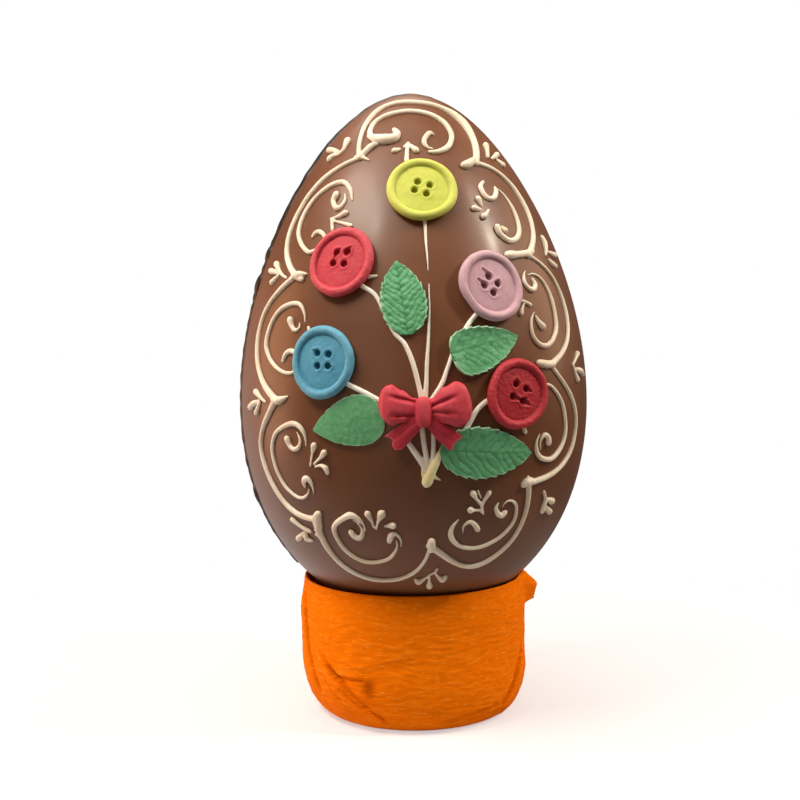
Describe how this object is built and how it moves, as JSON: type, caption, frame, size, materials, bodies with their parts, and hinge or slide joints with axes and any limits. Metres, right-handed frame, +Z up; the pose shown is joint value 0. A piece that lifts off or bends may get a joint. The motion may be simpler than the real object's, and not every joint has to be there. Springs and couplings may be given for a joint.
{
  "type": "decorated chocolate egg",
  "caption": "Milk chocolate egg piped with white icing, trimmed with sugar paste buttons, leaves and a bow, standing in an orange crepe paper collar.",
  "frame": {"origin": "the middle of the flat foot of the paper collar, on the surface the egg stands on", "axes": "+Z up, the long axis of the egg, tip upwards; -Y towards the decorated front; +X to the right seen from the front"},
  "size_m": [0.159, 0.1665, 0.283],
  "materials": {
    "chocolate": "moulded milk chocolate, satin gloss",
    "white_icing": "piped royal icing, dried, soft sheen",
    "yellow_paste": "sugar paste pressed in a mould, matt",
    "red_paste": "sugar paste pressed in a mould, matt",
    "lilac_paste": "sugar paste pressed in a mould, matt",
    "blue_paste": "sugar paste pressed in a mould, matt",
    "crimson_paste": "sugar paste pressed in a mould, matt",
    "leaf_paste": "sugar paste cut and veined, matt",
    "bow_paste": "sugar paste pressed in a mould, matt",
    "crepe_paper": "crepe paper with fine creases, matt"
  },
  "bodies": {
    "root": {"egg": "chocolate", "button_yellow": "yellow_paste", "button_red_left": "red_paste", "button_lilac": "lilac_paste", "button_blue": "blue_paste", "button_red_right": "crimson_paste", "leaf_upper_left": "leaf_paste", "leaf_upper_right": "leaf_paste", "leaf_lower_left": "leaf_paste", "leaf_lower_right": "leaf_paste", "bow": "bow_paste", "collar": "crepe_paper"}
  },
  "joints": []
}
